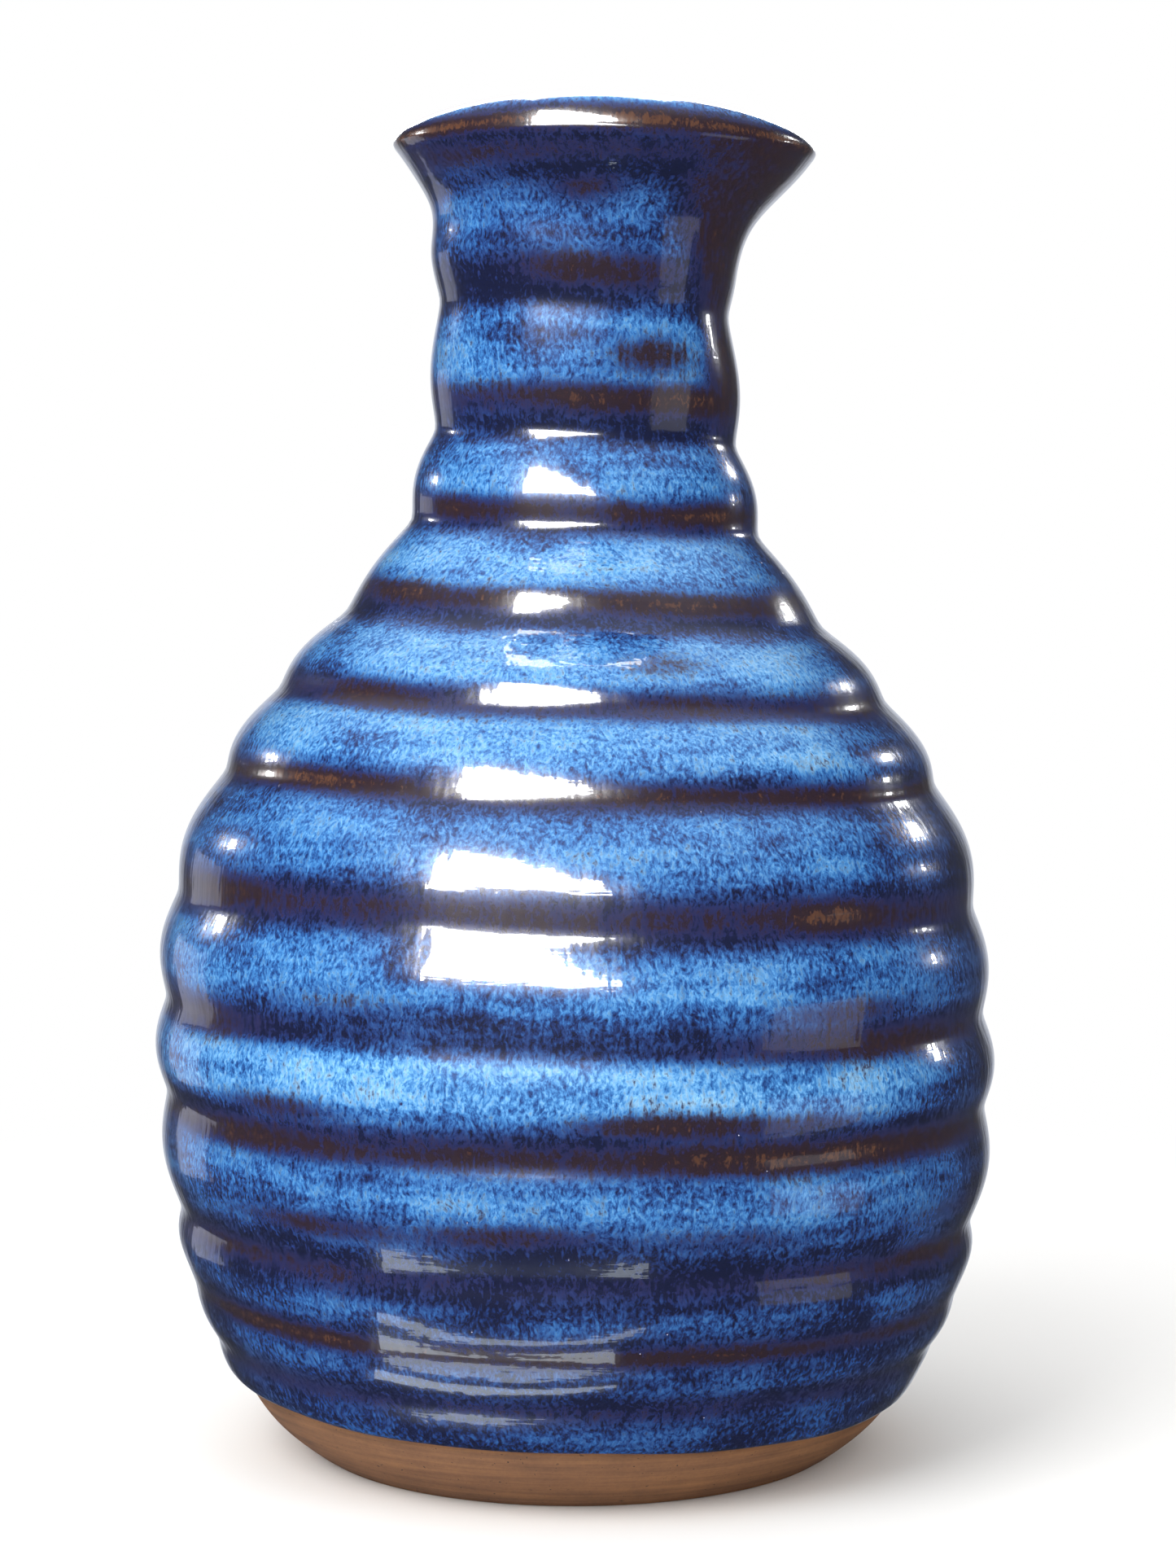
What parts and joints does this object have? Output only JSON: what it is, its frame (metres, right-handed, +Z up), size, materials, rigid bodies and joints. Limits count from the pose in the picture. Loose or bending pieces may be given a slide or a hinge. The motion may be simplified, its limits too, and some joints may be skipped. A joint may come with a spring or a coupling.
{
  "type": "stoneware bottle vase",
  "caption": "Wheel-thrown bottle vase: round ridged belly, narrow neck, flared lip, glaze coat that stops above a bare clay foot ring.",
  "frame": {"origin": "centre of the foot, on the surface that the vase stands on", "axes": "+Z up along the vase's axis, -Y toward the front, +X to the right, the side that the neck leans to"},
  "size_m": [0.1004, 0.1004, 0.1578],
  "materials": {
    "stoneware": "bare fired stoneware clay, dry and matt, with fine turning lines",
    "outer_glaze": "glossy floating blue glaze, mottled, breaking to brown on grooves and edges",
    "liner_glaze": "glossy dark blue glaze"
  },
  "bodies": {
    "root": {"clay_body": "stoneware", "outer_glaze": "outer_glaze", "liner_glaze": "liner_glaze"}
  },
  "joints": []
}
